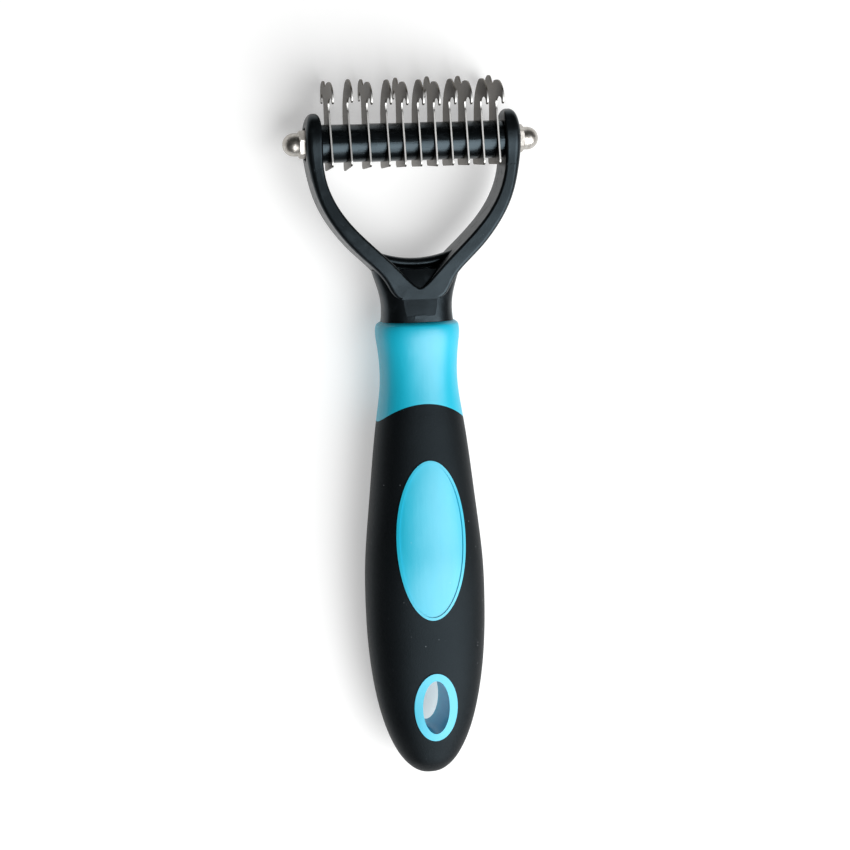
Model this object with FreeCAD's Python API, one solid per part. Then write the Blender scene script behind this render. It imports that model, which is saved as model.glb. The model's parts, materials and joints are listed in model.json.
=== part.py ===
import FreeCAD, Part
import math
import os

os.makedirs("parts", exist_ok=True)

# Dematting comb: a stack of hooked steel blades on a cross rod, held in a forked head with a long grip.
# The comb lies on its back. X runs along the cross rod, +Y towards the hooks, +Z up, away from the floor.
# Shapes are drawn about the rod's axis and moved to the shared frame when they are saved.

V = FreeCAD.Vector

# ---- overall ----
overall_l = 202.4          # hook tops to the end of the grip
hook_top = 18.3            # rod axis to the top of the rear hooks
axis_y = overall_l / 2 - hook_top
axis_z = 11.546            # rod axis above the floor
handle_end = hook_top - overall_l

# ---- cross rod and cap nuts ----
rod_d = 4.0
rod_half = 34.6
nut_flats = 7.0
nut_hex_h = 3.2
nut_dome_d = 6.5
nut_tip = 36.8
nut_bore_d = 4.1
nut_gap = 0.05
left_nut_turn = 19.0       # degrees from the front to the first corner
right_nut_turn = 30.0

# ---- fork ----
arm_inner = 26.2
seat_x = 29.1
seat_r = 4.7
arm_hole_d = 4.1
arm_depth = 6.2            # half depth of the arm ends
crotch_depth = 7.5         # half depth at the foot of the arms
web_r = 29.0
web_y = -32.9
web_edge = 1.7             # half thickness of the web behind its edge
throat_y = -41.0
front_end_y = -44.2

# ---- collar and neck ----
collar_y = -50.8
collar_w = 12.05           # half width below the collar's rounded shoulder
shoulder_r = 1.9
tang_end = -91.0

# ---- blade stack ----
blade_t = 0.5
wide_pitch = 5.38
narrow_pitch = 4.52
first_blade = -23.75
blade_hole_d = 4.02
spacer_d = 10.8
spacer_bore_d = 4.1
slide_gap = 0.05
blade_turn = [-5.0, -6.5, -3.0, -2.5, -1.0, -0.5, 0.5, -0.5, 0.0, 0.5, 0.0]

# ---- handle ----
skin = 1.8
belly_y = -132.0
belly_w = 17.5
end_power = 2.18
pad_x = 0.5
pad_c = -113.2
pad_w = 10.1
pad_l = 23.2
pad_rim = 0.8
eye_x = 0.75
eye_c = -162.6
eye_w = 6.4
eye_l = 10.25
hole_w = 3.95
hole_l = 8.05
grip_edge_y = -73.9
grip_edge_r = 17.5
grip_edge_half = 16.0      # half width of the arched edge, past the sides of the handle


def spline(points, first=None, last=None):
    curve = Part.BSplineCurve()
    pts = [V(*p) for p in points]
    if first is None:
        curve.interpolate(pts)
    else:
        curve.interpolate(Points=pts, InitialTangent=V(*first), FinalTangent=V(*last))
    return curve


def line(a, b):
    return Part.makeLine(V(*a), V(*b))


def arc(a, b, c):
    return Part.Arc(V(*a), V(*b), V(*c)).toShape()


def face(edges):
    return Part.Face(Part.Wire(Part.__sortEdges__(edges)))


def mirror_x(shape):
    return shape.mirror(V(0, 0, 0), V(1, 0, 0))


def mirror_z(shape):
    return shape.mirror(V(0, 0, 0), V(0, 0, 1))


def rod_along_x(radius, x0, x1):
    return Part.makeCylinder(radius, x1 - x0, V(x0, 0, 0), V(1, 0, 0))


def save(name, shape):
    solid = shape.copy()
    solid.translate(V(0, axis_y, axis_z))
    solid.exportStep("parts/" + name + ".step")


def oval(half_w, half_l, centre_x, centre_y, z0, z1):
    ring = Part.Ellipse(V(0, 0, 0), half_l, half_w).toShape()
    disc = Part.Face(Part.Wire([ring]))
    disc.rotate(V(0, 0, 0), V(0, 0, 1), 90)
    disc.translate(V(centre_x, centre_y, z0))
    return disc.extrude(V(0, 0, z1 - z0))


# ---------------------------------------------------------------- handle
# half width of the handle from the collar's shoulder to the belly; past the belly the outline is a rounded end
side_line = spline(
    [
        (collar_w, collar_y - shoulder_r, 0),
        (collar_w - 0.15, -55.5, 0),
        (11.15, -66.5, 0),
        (12.6, -79.0, 0),
        (15.35, -102.0, 0),
        (17.1, -119.0, 0),
        (belly_w, belly_y, 0),
    ],
    (0, -1, 0),
    (0, -1, 0),
)

# half thickness over half width, by distance from the rod
fullness = [
    (collar_y, 0.79),
    (-66.5, 0.79),
    (-90.0, 0.755),
    (-118.0, 0.673),
    (-140.0, 0.61),
    (-160.0, 0.60),
    (-174.0, 0.68),
    (handle_end, 0.80),
]


def thickness_ratio(y):
    for (ya, ra), (yb, rb) in zip(fullness, fullness[1:]):
        if ya >= y >= yb:
            s = (ya - y) / (ya - yb)
            s = s * s * (3 - 2 * s)
            return ra + (rb - ra) * s
    return fullness[-1][1]


def soft_ring(half_w, half_h, y, power=2.25, count=20):
    pts = []
    for i in range(count):
        a = 2 * math.pi * i / count
        c = math.cos(a)
        s = math.sin(a)
        x = math.copysign(abs(c) ** (2 / power), c) * half_w
        z = math.copysign(abs(s) ** (2 / power), s) * half_h
        pts.append(V(x, y, z))
    # every ring is divided alike, so that rings join in one smooth surface
    marks = [i / count for i in range(count + 1)]
    curve = Part.BSplineCurve()
    curve.interpolate(Points=pts, PeriodicFlag=True, Parameters=marks)
    return Part.Wire([curve.toShape()])


def handle_body(grow):
    # the handle's solid, grown outwards by the given amount
    rings = []
    # rounded shoulder at the collar
    for i in range(4):
        a = math.radians(22.5 * i)
        r = shoulder_r
        inset = r * (1 - math.sin(a)) - grow
        y = collar_y - r + r * math.cos(a)
        rings.append(soft_ring(collar_w - inset, collar_w * thickness_ratio(y) - inset, y))
    # neck and belly
    t0 = side_line.FirstParameter
    t1 = side_line.LastParameter
    count = 14
    for i in range(count):
        p = side_line.value(t0 + (t1 - t0) * i / count)
        rings.append(soft_ring(p.x + grow, p.x * thickness_ratio(p.y) + grow, p.y))
    # rounded end: a superellipse from the belly to the tip, which has a tiny flat
    end_l = belly_y - handle_end
    count = 15
    last = 87.5
    for i in range(count):
        a = math.radians(last * i / (count - 1))
        across = math.cos(a) ** (2 / end_power)
        y = belly_y - (end_l + grow) * math.sin(a) ** (2 / end_power)
        ratio = thickness_ratio(max(y, handle_end))
        rings.append(soft_ring((belly_w + grow) * across, (belly_w * ratio + grow) * across, y))
    return Part.makeLoft(rings, True, False)


def above_grip_edge():
    r = grip_edge_r
    c = grip_edge_y - r
    x = grip_edge_half
    y = c + math.sqrt(r * r - x * x)
    top = arc((-x, y, 0), (0, c + r, 0), (x, y, 0))
    edges = [top, line((x, y, 0), (x, -40, 0)), line((x, -40, 0), (-x, -40, 0)), line((-x, -40, 0), (-x, y, 0))]
    region = face(edges)
    region.translate(V(0, 0, -20))
    return region.extrude(V(0, 0, 40))


outer = handle_body(0.0)
inner = handle_body(-skin)
raised = handle_body(0.3)

collar = outer.common(above_grip_edge())
pad_all = oval(pad_w, pad_l, pad_x, pad_c, -20, 20)
pad_inside = oval(pad_w - pad_rim, pad_l - pad_rim, pad_x, pad_c, -20, 20)
eye_all = oval(eye_w, eye_l, eye_x, eye_c, -20, 20)
hang_hole = oval(hole_w, hole_l, eye_x, eye_c, -20, 20)

# ---------------------------------------------------------------- fork
def bar_ring(inner, outer, depth, r_out, r_in):
    # a rounded rectangle that stands on the line from the inner to the outer edge of the arm
    start = V(inner[0], inner[1], 0)
    across = V(outer[0] - inner[0], outer[1] - inner[1], 0)
    width = across.Length
    across.normalize()
    r_out = min(r_out, 0.42 * width, 0.8 * depth)
    r_in = min(r_in, 0.42 * width, 0.8 * depth)

    def at(u, z):
        return start + across * u + V(0, 0, z)

    k = 1 - math.sqrt(0.5)
    w = width
    d = depth
    edges = [
        Part.makeLine(at(r_in, d), at(w - r_out, d)),
        Part.Arc(at(w - r_out, d), at(w - r_out * k, d - r_out * k), at(w, d - r_out)).toShape(),
        Part.makeLine(at(w, d - r_out), at(w, r_out - d)),
        Part.Arc(at(w, r_out - d), at(w - r_out * k, r_out * k - d), at(w - r_out, -d)).toShape(),
        Part.makeLine(at(w - r_out, -d), at(r_in, -d)),
        Part.Arc(at(r_in, -d), at(r_in * k, r_in * k - d), at(0, r_in - d)).toShape(),
        Part.makeLine(at(0, r_in - d), at(0, d - r_in)),
        Part.Arc(at(0, d - r_in), at(r_in * k, d - r_in * k), at(r_in, d)).toShape(),
    ]
    return Part.Wire(edges)


# one arm of the fork, from its rounded end to the throat:
# inner edge, outer edge, half depth, outer and inner edge rounding
arm_stations = [
    ((27.3, 8.5), (28.5, 8.5), 0.9, 0.4, 0.4),
    ((26.9, 8.15), (29.05, 8.15), 2.3, 0.8, 0.6),
    ((26.45, 7.2), (29.7, 7.2), 3.9, 1.2, 0.6),
    ((26.2, 5.2), (30.3, 5.2), 5.3, 1.6, 0.5),
    ((26.2, 2.2), (30.7, 2.2), arm_depth, 1.8, 0.5),
    ((26.2, -3.0), (30.6, -3.3), arm_depth, 1.8, 0.6),
    ((25.75, -8.4), (29.7, -9.0), arm_depth, 1.5, 0.7),
    ((24.5, -13.2), (28.25, -14.5), 6.4, 1.2, 0.7),
    ((22.2, -18.0), (25.8, -20.05), 6.7, 1.1, 0.7),
    ((18.9, -22.6), (22.3, -25.4), 7.0, 1.1, 0.7),
    ((14.6, -27.2), (18.05, -30.35), 7.3, 1.1, 0.7),
    ((10.2, -31.4), (13.75, -34.45), crotch_depth, 1.1, 0.7),
    ((5.4, -36.2), (9.5, -39.6), crotch_depth, 1.1, 0.7),
    ((0.9, -40.7), (5.6, front_end_y), crotch_depth, 1.0, 0.6),
]
arm_rings = [bar_ring(*s) for s in arm_stations]
right_arm = Part.makeLoft(arm_rings, True, False)
left_arm = mirror_x(right_arm)

# the foot of the V, with its rounded bottom
foot_x = 1.02
foot_y = throat_y + 0.43
foot_edges = [
    arc((-foot_x, foot_y, 0), (0, throat_y, 0), (foot_x, foot_y, 0)),
    line((foot_x, foot_y, 0), (4.0, -41.2, 0)),
    line((4.0, -41.2, 0), (5.4, front_end_y, 0)),
    line((5.4, front_end_y, 0), (-5.4, front_end_y, 0)),
    line((-5.4, front_end_y, 0), (-4.0, -41.2, 0)),
    line((-4.0, -41.2, 0), (-foot_x, foot_y, 0)),
]
foot = face(foot_edges)
foot.translate(V(0, 0, -crotch_depth))
foot = foot.extrude(V(0, 0, 2 * crotch_depth))
foot_rims = [e for e in foot.Edges if isinstance(e.Curve, Part.Circle)]
foot = foot.makeFillet(0.6, foot_rims)

# the thin web across the throat: a rounded bead along its edge, a shallow pocket behind the bead,
# and a floor that sweeps up to the front and back faces at the bottom of the V
web_side = [
    (0.0, web_edge / 2),
    (0.15, web_edge * 0.8),
    (0.7, web_edge + 0.25),
    (1.4, web_edge + 0.45),
    (1.95, web_edge + 0.3),
    (2.45, web_edge - 0.25),
    (3.2, web_edge - 0.4),
    (4.6, web_edge - 0.15),
    (6.1, web_edge + 0.9),
    (7.2, web_edge + 2.8),
    (8.05, web_edge + 5.2),
]


def web_profile(side):
    # radius from the centre of the throat's arc, and height on the given side of the middle plane
    return [(0, -(web_r + u), side * z) for u, z in web_side]


web_front = spline(web_profile(1)).toShape()
web_back = spline(web_profile(-1)).toShape()
web_far = -(web_r + 11.0)
web_deep = web_profile(1)[-1]
web_edges = [
    web_front,
    web_back,
    line(web_profile(-1)[0], web_profile(1)[0]),
    line(web_deep, (0, web_far, web_deep[2])),
    line((0, web_far, web_deep[2]), (0, web_far, -web_deep[2])),
    line((0, web_far, -web_deep[2]), (0, web_deep[1], -web_deep[2])),
]
web = face(web_edges)
web.rotate(V(0, 0, 0), V(0, 0, 1), -32)
web = web.revolve(V(0, 0, 0), V(0, 0, 1), 64)
web.translate(V(0, web_y + web_r, 0))
web_plan = [V(x, y, -9) for x, y in [(-15.9, -29.6), (15.9, -29.6), (3.0, -43.5), (-3.0, -43.5)]]
web = web.common(Part.Face(Part.makePolygon(web_plan + [web_plan[0]])).extrude(V(0, 0, 18)))

# the neck, flattened a little on its front and back below the V
neck_stations = [
    (-36.0, 12.7, 5.6),
    (-39.0, 11.8, 6.4),
    (-42.0, 10.85, 6.9),
    (-45.5, 10.2, 7.25),
    (collar_y, 10.4, 7.5),
]
neck_rings = []
for y, w, h in neck_stations:
    neck_rings.append(soft_ring(w, h, y, 2.7))
neck = Part.makeLoft(neck_rings, True, False)
flat_side = [(-12, -42.0, 6.6), (-12, -49.0, 7.2), (-12, -49.0, 9.0), (-12, -42.0, 9.0)]
flat_pts = [V(*p) for p in flat_side]
flat_cut = Part.Face(Part.makePolygon(flat_pts + [flat_pts[0]])).extrude(V(24, 0, 0))
neck = neck.cut([flat_cut, mirror_z(flat_cut)])

tang = Part.makeLoft([soft_ring(8.5, 6.1, collar_y + 3, 3.0), soft_ring(7.2, 5.0, tang_end, 3.0)], True, True)
barbs = []
for i in range(4):
    y = -58.0 - 8.0 * i
    low = soft_ring(7.7 - 0.22 * i, 5.5 - 0.2 * i, y - 4.5, 3.0)
    high = soft_ring(9.0 - 0.22 * i, 6.6 - 0.2 * i, y, 3.0)
    barbs.append(Part.makeLoft([high, low], True, True))

fork = right_arm.fuse([left_arm, foot, web, neck])
fork = fork.fuse([tang] + barbs).removeSplitter()

# flat seats for the end spacers
fork = fork.cut(rod_along_x(spacer_d / 2 + 1.2, -arm_inner, arm_inner))

# spot faces for the nuts, rod holes, and the fine parting ring below each arm end
for side in (-1, 1):
    x = side * seat_x
    recess = Part.makeCylinder(seat_r, 6, V(x, 0, 0), V(side, 0, 0))
    hole = Part.makeCylinder(arm_hole_d / 2, 12, V(side * 24, 0, 0), V(side, 0, 0))
    fork = fork.cut([recess, hole])
ring_cut = rod_along_x(9.5, -32, 32).cut(rod_along_x(9.3, -33, 33))
ring_front = ring_cut.common(Part.makeBox(70, 12, 4, V(-35, -12, arm_depth - 0.12)))
fork = fork.cut([ring_front, mirror_z(ring_front)])

# the small raised moulding mark on the neck, front only
mark_y = -49.3
mark = Part.makeBox(2.9, 0.9, 1.2, V(-1.45, mark_y - 0.45, 6.35))
for x in (-1.45, 1.45):
    mark = mark.fuse(Part.makeCylinder(0.45, 1.2, V(x, mark_y, 6.35)))
fork = fork.fuse(mark)
save("fork", fork)

# ---------------------------------------------------------------- handle core and grip skin
pad = outer.common(pad_all)
pad_border = raised.common(pad_all).cut(pad_inside)
eyelet = raised.common(eye_all)
core = collar.fuse(inner).fuse(pad).fuse(pad_border).fuse(eyelet)
air_pocket = Part.makeBox(12, 4, 8, V(-6, tang_end - 4, -4))
core = core.cut(hang_hole).cut(tang.fuse(barbs)).cut(air_pocket)
grip = outer.cut(above_grip_edge()).cut(inner).cut(pad_all).cut(eye_all)
save("handle_core", core)
save("grip_overmould", grip)

# ---------------------------------------------------------------- rod and nuts
rod = rod_along_x(rod_d / 2 - 0.3, -rod_half, rod_half).fuse(rod_along_x(rod_d / 2, -rod_half + 0.4, rod_half - 0.4))
save("tie_rod", rod)


def cap_nut(side, turn):
    # hexagon with a rounded cap, drawn pointing to +X from its bearing face
    base = seat_x + nut_gap
    corner_r = nut_flats / math.sqrt(3)
    pts = []
    for i in range(7):
        a = math.radians(turn + 60 * i)
        pts.append(V(base, corner_r * math.sin(a), corner_r * math.cos(a)))
    hexagon = Part.Face(Part.makePolygon(pts)).extrude(V(nut_hex_h, 0, 0))
    over = corner_r + 0.05
    rim = 0.42
    edge = Part.makeCone(over - rim * 1.7, over, rim, V(base, 0, 0), V(1, 0, 0))
    middle = Part.makeCylinder(over, nut_hex_h - 2 * rim, V(base + rim, 0, 0), V(1, 0, 0))
    top = Part.makeCone(over, over - rim * 1.7, rim, V(base + nut_hex_h - rim, 0, 0), V(1, 0, 0))
    body = hexagon.common(edge.fuse([middle, top]))
    r = nut_dome_d / 2
    shoulder = base + nut_hex_h
    dome_c = nut_tip - r
    cap = Part.makeCylinder(r, dome_c - shoulder + 0.5, V(shoulder - 0.5, 0, 0), V(1, 0, 0))
    cap = cap.fuse(Part.makeSphere(r, V(dome_c, 0, 0)))
    bore = Part.makeCylinder(nut_bore_d / 2, rod_half + 0.5 - base, V(base, 0, 0), V(1, 0, 0))
    nut = body.fuse(cap).cut(bore).removeSplitter()
    return nut if side > 0 else mirror_x(nut)


save("cap_nut_left", cap_nut(-1, left_nut_turn))
save("cap_nut_right", cap_nut(1, right_nut_turn))

# ---------------------------------------------------------------- blades and spacers
blade_x = [first_blade]
for i in range(10):
    blade_x.append(blade_x[-1] + (wide_pitch if i < 3 else narrow_pitch))


def z_y(points):
    return [(0, y, z) for z, y in points]


def blade_face(double):
    # drawn in the plane across the rod: first number towards the front, second towards the hooks
    stem = (4.85, 7.0)
    heel = (7.45, -5.6)
    crown = (5.0, 16.6) if double else (6.0, 17.1)
    brow = [(9.6, 15.7), (12.6, 13.4)] if double else [(10.0, 15.9), (12.7, 13.4)]
    front_outer = spline(z_y([crown] + brow + [(13.35, 11.0), (12.5, 9.75)]), (0, 0, 1), (0, -0.4, -1))
    front_tip = arc((0, 9.75, 12.5), (0, 10.0, 11.75), (0, 10.7, 11.6))
    gullet = [(11.6, 10.7), (10.4, 11.55), (8.2, 11.9), (5.6, 11.6), (4.1, 10.4), (4.1, 8.8), stem]
    front_inner = spline(z_y(gullet), (0, 1, -0.7), (0, -1, 0.2))
    front_side = line((0, stem[1], stem[0]), (0, heel[1], heel[0]))
    front_corner = arc((0, -5.6, 7.45), (0, -6.75, 7.1), (0, -7.1, 6.0))
    bottom = line((0, -7.1, 6.0), (0, -7.1, -6.0))
    back_corner = arc((0, -7.1, -6.0), (0, -6.75, -7.1), (0, -5.6, -7.45))
    back_side = line((0, heel[1], -heel[0]), (0, stem[1], -stem[0]))
    edges = [front_outer.toShape(), front_tip, front_inner.toShape(), front_side]
    edges += [front_corner, bottom, back_corner, back_side]
    if double:
        back_gullet = [(-4.85, 7.0), (-4.7, 10.5), (-5.2, 13.4), (-6.6, 14.75), (-8.2, 14.3), (-9.0, 12.9)]
        back_inner = spline(z_y(back_gullet), (0, 1, 0), (0, -1, -0.25))
        back_tip = arc((0, 12.9, -9.0), (0, 12.3, -9.45), (0, 12.6, -10.1))
        back_lobe = [(-10.1, 12.6), (-10.1, 15.0), (-9.1, 17.0), (-7.3, 18.0), (-5.5, 18.25)]
        saddle = [(-3.6, 17.85), (-2.3, 16.85), (-0.8, 16.0), (1.4, 15.95)]
        back_outer = spline(z_y(back_lobe + saddle + [crown]), (0, 1, -0.1), (0, 0, 1))
        edges += [back_inner.toShape(), back_tip, back_outer.toShape()]
    else:
        back_line = [(-4.85, 7.0), (-4.2, 10.2), (-2.0, 13.9), (1.4, 16.3), crown]
        back = spline(z_y(back_line), (0, 1, 0), (0, 0, 1))
        edges.append(back.toShape())
    return face(edges)


for i, x in enumerate(blade_x):
    blade = blade_face(i % 2 == 0)
    blade.translate(V(x - blade_t / 2, 0, 0))
    blade = blade.extrude(V(blade_t, 0, 0))
    blade = blade.cut(rod_along_x(blade_hole_d / 2, x - 2, x + 2))
    blade.rotate(V(0, 0, 0), V(1, 0, 0), blade_turn[i])
    save("blade_%02d" % (i + 1), blade)

ends = [-arm_inner + slide_gap] + blade_x + [arm_inner - slide_gap]
for i in range(12):
    x0 = ends[i] + (blade_t / 2 if i > 0 else 0)
    x1 = ends[i + 1] - (blade_t / 2 if i < 11 else 0)
    r = spacer_d / 2 - 0.06 * (i % 3)
    tube = rod_along_x(r, x0, x1)
    rims = [e for e in tube.Edges if hasattr(e.Curve, "Radius")]
    tube = tube.makeChamfer(0.15, rims).cut(rod_along_x(spacer_bore_d / 2, x0 - 1, x1 + 1))
    save("spacer_%02d" % (i + 1), tube)
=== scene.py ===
import json
import math

import bmesh
import bpy
from mathutils import Matrix, Vector


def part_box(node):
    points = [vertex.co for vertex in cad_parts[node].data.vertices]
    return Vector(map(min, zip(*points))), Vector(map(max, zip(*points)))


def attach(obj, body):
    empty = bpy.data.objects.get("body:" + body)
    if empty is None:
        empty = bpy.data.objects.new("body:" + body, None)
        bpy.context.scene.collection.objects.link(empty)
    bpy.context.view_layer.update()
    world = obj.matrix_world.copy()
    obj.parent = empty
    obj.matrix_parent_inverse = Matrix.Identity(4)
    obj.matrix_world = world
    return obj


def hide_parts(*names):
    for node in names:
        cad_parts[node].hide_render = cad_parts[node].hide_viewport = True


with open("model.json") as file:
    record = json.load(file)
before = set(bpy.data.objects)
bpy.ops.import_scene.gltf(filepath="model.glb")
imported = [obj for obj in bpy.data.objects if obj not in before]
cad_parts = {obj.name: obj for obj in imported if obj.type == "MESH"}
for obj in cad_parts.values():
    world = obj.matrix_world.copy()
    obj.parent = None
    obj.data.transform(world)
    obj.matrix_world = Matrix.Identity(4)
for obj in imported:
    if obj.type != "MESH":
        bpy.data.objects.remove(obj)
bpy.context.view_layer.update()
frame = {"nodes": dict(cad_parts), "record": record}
nodes = frame["nodes"]
scene = bpy.context.scene

MM = 0.001
WELD = 0.002 * MM  # points closer than this are one point
BLADE_EASE = 0.07 * MM
NUT_EASE = 0.12 * MM
FLOOR_SIZE = 6.0
FLOOR_HEIGHT = -0.2 * MM  # just under the comb, clear of its lowest face
LENS = 87.74
SENSOR = 36.0
rod_low, rod_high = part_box("tie_rod")
ROD_Y = (rod_low.y + rod_high.y) / 2
ROD_Z = (rod_low.z + rod_high.z) / 2


# ---------------------------------------------------------------- shader maths
class Sock:
    """A shader value that can be written in ordinary sums."""

    def __init__(self, tree, out):
        self.tree = tree
        self.out = out

    def math(self, operation, *others, clamp=False):
        node = self.tree.new("ShaderNodeMath")
        node.operation = operation
        node.use_clamp = clamp
        for socket, value in zip(node.inputs, (self,) + others):
            self.tree.put(socket, value)
        return Sock(self.tree, node.outputs[0])

    def __add__(self, other):
        return self.math("ADD", other)

    __radd__ = __add__

    def __mul__(self, other):
        return self.math("MULTIPLY", other)

    __rmul__ = __mul__

    def __sub__(self, other):
        return self.math("SUBTRACT", other)

    def __rsub__(self, other):
        return (self * -1.0) + other

    def __abs__(self):
        return self.math("ABSOLUTE")

    def step(self, low, high):
        """0 below low, 1 above high, smooth between."""
        return self.tree.add(
            "ShaderNodeMapRange",
            {"interpolation_type": "SMOOTHSTEP"},
            {"Value": self, "From Min": low, "From Max": high},
        )


class Tree:
    """The nodes of one material."""

    def __init__(self, name):
        self.material = bpy.data.materials.new(name)
        self.material.use_nodes = True
        self.nodes = self.material.node_tree.nodes
        self.links = self.material.node_tree.links
        self.shader = next(n for n in self.nodes if n.type == "BSDF_PRINCIPLED")

    def new(self, kind):
        return self.nodes.new(kind)

    def put(self, socket, value):
        if isinstance(value, Sock):
            self.links.new(value.out, socket)
        elif value is not None:
            socket.default_value = value

    def add(self, kind, settings=None, sockets=None, out=0):
        node = self.new(kind)
        for key, value in (settings or {}).items():
            setattr(node, key, value)
        for key, value in (sockets or {}).items():
            self.put(node.inputs[key], value)
        return Sock(self, node.outputs[out])

    def place(self, scale=(1, 1, 1)):
        """Position on the object in millimetres, stretched by scale."""
        spot = self.add("ShaderNodeTexCoord", out=3)
        factor = [s / MM for s in scale]
        return self.add("ShaderNodeVectorMath", {"operation": "MULTIPLY"}, {0: spot, 1: factor})

    def axis(self, vector, index):
        return self.add("ShaderNodeSeparateXYZ", {}, {0: vector}, out=index)

    def facing(self, index):
        """How far the surface faces along one of the object's axes, without sign."""
        return abs(self.axis(self.add("ShaderNodeTexCoord", out=1), index))

    def noise(self, place, scale, detail=3.0, rough=0.5):
        sockets = {"Vector": place, "Scale": scale, "Detail": detail, "Roughness": rough}
        return self.add("ShaderNodeTexNoise", {}, sockets)

    def specks(self, place, scale, size, share):
        """1 in small round spots; share is how many cells hold one."""
        sockets = {"Vector": place, "Scale": scale}
        spot = self.add("ShaderNodeTexVoronoi", {}, sockets)
        pick = self.axis(self.add("ShaderNodeTexVoronoi", {}, sockets, out=1), 0)
        return (1 - spot.step(size * 0.6, size)) * pick.step(1 - share, 1 - share + 0.01)

    def blend(self, factor, a, b):
        return self.add("ShaderNodeMix", {"data_type": "RGBA"}, {0: factor, 6: a, 7: b}, out=2)

    def bump(self, height, distance, strength=1.0):
        sockets = {"Height": height, "Strength": strength, "Distance": distance}
        return self.add("ShaderNodeBump", {}, sockets)

    def finish(self, **sockets):
        for key, value in sockets.items():
            self.put(self.shader.inputs[key.replace("_", " ")], value)
        return self.material


# ---------------------------------------------------------------- finishes
PAINTED_BLUISH_REFLECTION = (0.68, 0.88, 1.0, 1)  # bluish tint on the black plastics' reflections, standing in for the colour of the light: painted reflection colour


def core_plastic():
    """Satin moulded cyan: soft cloudiness, faint flow marks along the handle, a very fine skin."""
    t = Tree("cyan core plastic")
    cloud = t.noise(t.place((1, 0.4, 1)), 0.12, 2.0)
    flow = t.noise(t.place((1.4, 0.08, 1.4)), 0.6, 3.0)
    skin = t.noise(t.place(), 5.0, 2.0)
    dust = t.specks(t.place(), 0.55, 0.07, 0.05)
    colour = t.blend(cloud.step(0.35, 0.7), (0.0, 0.455, 0.63, 1), (0.004, 0.49, 0.67, 1))
    colour = t.blend(dust * 0.4, colour, (0.5, 0.75, 0.85, 1))
    relief = skin * 0.35 + flow * 0.5
    return t.finish(
        Base_Color=colour,
        Roughness=0.34 + cloud * 0.08 + flow * 0.05,
        Specular_IOR_Level=0.8,
        Normal=t.bump(relief, 0.00004),
    )


def grip_rubber():
    """Soft-touch black overmould: fine matt grain, faint shine, a few specks of dust and lint."""
    t = Tree("black grip rubber")
    grain = t.noise(t.place(), 3.2, 4.0, 0.65)
    cloud = t.noise(t.place((1, 0.5, 1)), 0.1, 2.0)
    small = t.specks(t.place(), 0.5, 0.09, 0.14)
    fine = t.specks(t.place(), 1.1, 0.08, 0.05)
    lint = t.noise(t.place((1.0, 0.35, 1.0)), 0.9, 2.0, 0.7).step(0.73, 0.76)
    dust = (small * 0.8 + fine * 0.5 + lint * 0.05).math("MINIMUM", 1.0)
    colour = t.blend(cloud, (0.0018, 0.0021, 0.0024, 1), (0.003, 0.0035, 0.004, 1))
    colour = t.blend(dust, colour, (0.16, 0.17, 0.18, 1))
    return t.finish(
        Base_Color=colour,
        Roughness=0.43 + cloud * 0.08 + grain * 0.06,
        Specular_IOR_Level=0.2,
        Specular_Tint=PAINTED_BLUISH_REFLECTION,
        Normal=t.bump(grain, 0.00008, 0.8),
    )


def fork_nylon():
    """Black moulded nylon: semi-gloss, gentle sinks, rubbed patches and hairline scratches."""
    t = Tree("black fork nylon")
    sink = t.noise(t.place(), 0.09, 2.0)
    skin = t.noise(t.place(), 2.4, 4.0, 0.6)
    streak = t.noise(t.place((1, 0.12, 1)), 2.6, 3.0, 0.7)
    rubbed = t.noise(t.place(), 0.35, 4.0, 0.6).step(0.52, 0.72)
    dust = t.specks(t.place(), 0.8, 0.07, 0.06)
    scratch = streak.step(0.66, 0.7) * rubbed
    colour = t.blend(rubbed * 0.5, (0.0022, 0.0026, 0.003, 1), (0.005, 0.006, 0.0068, 1))
    colour = t.blend(dust * 0.6, colour, (0.14, 0.15, 0.16, 1))
    relief = sink * 3.0 + skin * 0.25 + scratch * 0.2
    return t.finish(
        Base_Color=colour,
        Roughness=0.29 + rubbed * 0.12 + skin * 0.06,
        Specular_IOR_Level=0.42,
        Specular_Tint=PAINTED_BLUISH_REFLECTION,
        Normal=t.bump(relief, 0.00006),
    )


def spacer_nylon():
    """Glossy black tube: faint lengthwise drag marks and a few duller patches."""
    t = Tree("black spacer nylon")
    drag = t.noise(t.place((0.12, 1.4, 1.4)), 0.9, 3.0, 0.5)
    ragged = t.noise(t.place((0.3, 1.0, 1.0)), 0.5, 4.0, 0.6)
    scuff = ragged.step(0.5, 0.66)
    colour = t.blend(scuff * 0.5, (0.002, 0.0024, 0.0028, 1), (0.005, 0.006, 0.007, 1))
    relief = drag * 0.3 + scuff * 0.08
    return t.finish(
        Base_Color=colour,
        Roughness=0.25 + scuff * 0.1,
        Specular_IOR_Level=0.5,
        Specular_Tint=PAINTED_BLUISH_REFLECTION,
        Normal=t.bump(relief, 0.0001),
    )


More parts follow.
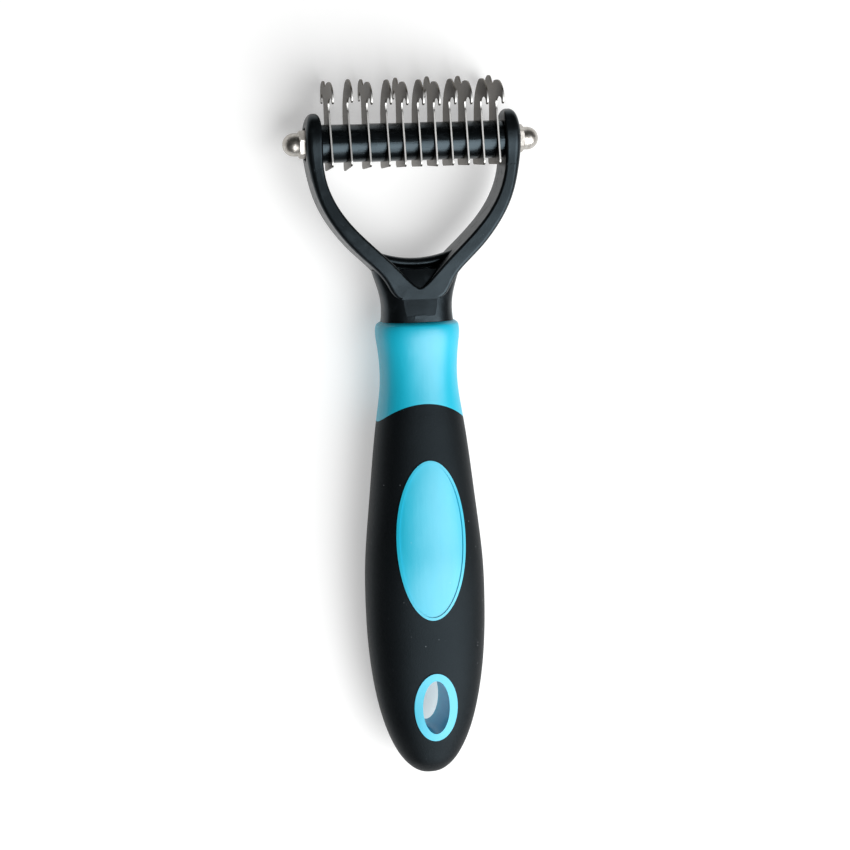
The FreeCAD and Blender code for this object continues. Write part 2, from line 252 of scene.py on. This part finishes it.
def blade_steel():
    """Stamped stainless sheet with grain and stains; faces painted dark (painted reflection), sideways
    sheared edges painted shade, up and down edges painted highlight.
    """
    t = Tree("blade steel")
    face = t.facing(0).step(0.75, 0.95)
    # edges facing up or down, the ones given the painted highlight
    highlight_edge_mask = t.facing(2).step(0.75, 0.97)
    grain = t.noise(t.place((1.0, 0.25, 2.5)), 2.4, 4.0, 0.6)
    stain = t.noise(t.place(), 0.28, 4.0, 0.6)
    burr = t.noise(t.place(), 3.0, 2.0)
    # faces: real stain mottling, painted dark as a painted reflection of dark surroundings
    face_stain_and_painted_dark = t.blend(stain.step(0.35, 0.7), (0.068, 0.057, 0.043, 1), (0.105, 0.09, 0.07, 1))
    # painted highlight for the edges facing up or down
    painted_highlight = t.blend(burr, (0.8, 0.79, 0.76, 1), (0.95, 0.94, 0.92, 1))
    # edges: painted shade where they face sideways, painted highlight where they face up or down
    edge_painted_shade_and_highlight = t.blend(highlight_edge_mask, (0.13, 0.12, 0.105, 1), painted_highlight)
    relief = grain * 0.5 + burr * 0.3
    return t.finish(
        Base_Color=t.blend(face, edge_painted_shade_and_highlight, face_stain_and_painted_dark),
        Metallic=1.0,
        Roughness=0.38 + highlight_edge_mask * 0.2 - face * (0.08 - stain * 0.1) + grain * 0.06,
        Normal=t.bump(relief, 0.00002),
    )


def nut_steel():
    """Satin nickel plate: fine turning rings and uneven rub."""
    t = Tree("nickel nut")
    rings = t.noise(t.place((3.0, 0.1, 0.1)), 1.4, 2.0)
    rub = t.noise(t.place(), 0.9, 4.0, 0.6)
    colour = t.blend(rub.step(0.4, 0.75), (0.44, 0.415, 0.38, 1), (0.6, 0.58, 0.55, 1))
    return t.finish(
        Base_Color=colour,
        Metallic=1.0,
        Roughness=0.3 + rub * 0.16,
        Normal=t.bump(rings + rub * 0.5, 0.000025),
    )


def rod_steel():
    """Zinc-plated rod: pale, slightly mottled."""
    t = Tree("zinc rod")
    spangle = t.noise(t.place(), 1.2, 4.0, 0.6)
    colour = t.blend(spangle, (0.42, 0.43, 0.44, 1), (0.6, 0.6, 0.6, 1))
    return t.finish(
        Base_Color=colour,
        Metallic=1.0,
        Roughness=0.28 + spangle * 0.15,
        Normal=t.bump(spangle, 0.00002),
    )


finishes = {
    "core_plastic": core_plastic(),
    "grip_rubber": grip_rubber(),
    "fork_plastic": fork_nylon(),
    "spacer_plastic": spacer_nylon(),
    "blade_steel": blade_steel(),
    "nut_steel": nut_steel(),
    "rod_steel": rod_steel(),
}
slot_of = {s["node"]: s["material_slot"] for s in frame["record"]["subparts"]}
for name, obj in nodes.items():
    for slot in obj.material_slots:
        slot.material = finishes[slot_of[name]]

bodies = frame["record"]["behaviour"]["bodies"]
body_of = {name: body for body, names in bodies.items() for name in names}


# ---------------------------------------------------------------- pieces with softened edges
def softened(node, ending, width, flat_angle=0.05, sharp_angle=25.0):
    """A copy of a CAD piece with its sharp edges eased by width, in place of the CAD node."""
    mesh = nodes[node].data.copy()
    shape = bmesh.new()
    shape.from_mesh(mesh)
    bmesh.ops.remove_doubles(shape, verts=shape.verts, dist=WELD)
    bmesh.ops.dissolve_limit(
        shape,
        angle_limit=math.radians(flat_angle),
        verts=shape.verts,
        edges=shape.edges,
        delimit=set(),
    )
    limit = math.radians(sharp_angle)
    sharp = [e for e in shape.edges if len(e.link_faces) == 2 and e.calc_face_angle() > limit]
    bmesh.ops.bevel(
        shape,
        geom=sharp,
        offset=width,
        offset_type="OFFSET",
        segments=2,
        profile=0.5,
        affect="EDGES",
        clamp_overlap=True,
    )
    for face in shape.faces:
        face.smooth = True
    shape.to_mesh(mesh)
    shape.free()
    piece = bpy.data.objects.new(node + ending, mesh)
    scene.collection.objects.link(piece)
    mesh.materials.clear()
    mesh.materials.append(finishes[slot_of[node]])
    keep = piece.modifiers.new("even shading", "WEIGHTED_NORMAL")
    keep.keep_sharp = False
    keep.weight = 80
    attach(piece, body_of[node])
    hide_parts(node)
    return piece


for name in sorted(nodes):
    if name.startswith("blade_"):
        softened(name, "_ground", BLADE_EASE)
    elif name.startswith("cap_nut_"):
        softened(name, "_plated", NUT_EASE)


# ---------------------------------------------------------------- floor, light and camera
def stage_plane(name, size, height):
    mesh = bpy.data.meshes.new(name)
    s = size / 2
    corners = [(-s, -s, height), (s, -s, height), (s, s, height), (-s, s, height)]
    mesh.from_pydata(corners, [], [(0, 1, 2, 3)])
    obj = bpy.data.objects.new(name, mesh)
    scene.collection.objects.link(obj)
    return obj


def pale_glowing_floor():
    t = Tree("pale floor")
    tone = t.noise(t.place(), 0.01, 2.0)
    return t.finish(
        Base_Color=t.blend(tone, (0.6, 0.595, 0.585, 1), (0.62, 0.615, 0.605, 1)),
        Roughness=0.9,
        Specular_IOR_Level=0.1,
        # the floor glows (emission) so the shadows cast on it stay faint: painted light
        Emission_Color=(1.0, 1.0, 1.0, 1),
        Emission_Strength=0.45,
    )


floor = stage_plane("floor", FLOOR_SIZE, FLOOR_HEIGHT)
floor.data.materials.append(pale_glowing_floor())


def soft_light(name, place, target, size, power, colour=(1, 1, 1)):
    data = bpy.data.lights.new(name, "AREA")
    data.shape = "RECTANGLE"
    data.size, data.size_y = size
    data.energy = power
    data.color = colour
    obj = bpy.data.objects.new(name, data)
    obj.location = place
    obj.rotation_euler = (Vector(target) - Vector(place)).to_track_quat("-Z", "Y").to_euler()
    scene.collection.objects.link(obj)
    return obj


soft_light("key", (0.50, -0.50, 0.90), (0, 0, 0), (1.25, 1.25), 27, (0.97, 0.985, 1.0))

world = bpy.data.worlds.new("studio")
world.use_nodes = True
world.node_tree.nodes["Background"].inputs["Color"].default_value = (0.9, 0.85, 0.8, 1)
world.node_tree.nodes["Background"].inputs["Strength"].default_value = 0.03
scene.world = world


def look(yaw, pitch, roll):
    """The turn of a camera looking down: degrees right, degrees towards the hooks, degrees about its line."""
    yaw, pitch, roll = (math.radians(v) for v in (yaw, pitch, roll))
    cy, sy = math.cos(yaw), math.sin(yaw)
    cp, sp = math.cos(pitch), math.sin(pitch)
    forward = Vector((sy * cp, sp, -cy * cp))
    right = forward.cross(Vector((0, 1, 0))).normalized()
    up = right.cross(forward)
    r = right * math.cos(roll) + up * math.sin(roll)
    u = up * math.cos(roll) - right * math.sin(roll)
    return Matrix((r, u, -forward)).transposed().to_euler()


camera_data = bpy.data.cameras.new("camera")
camera_data.lens = LENS
camera_data.sensor_width = SENSOR
camera = bpy.data.objects.new("camera", camera_data)
camera.location = (-106.93 * MM, ROD_Y - 0.84 * MM, ROD_Z + 582.57 * MM)
camera.rotation_euler = look(10.544, -7.719, -1.703)
scene.collection.objects.link(camera)
scene.camera = camera
scene.view_settings.view_transform = "Standard"
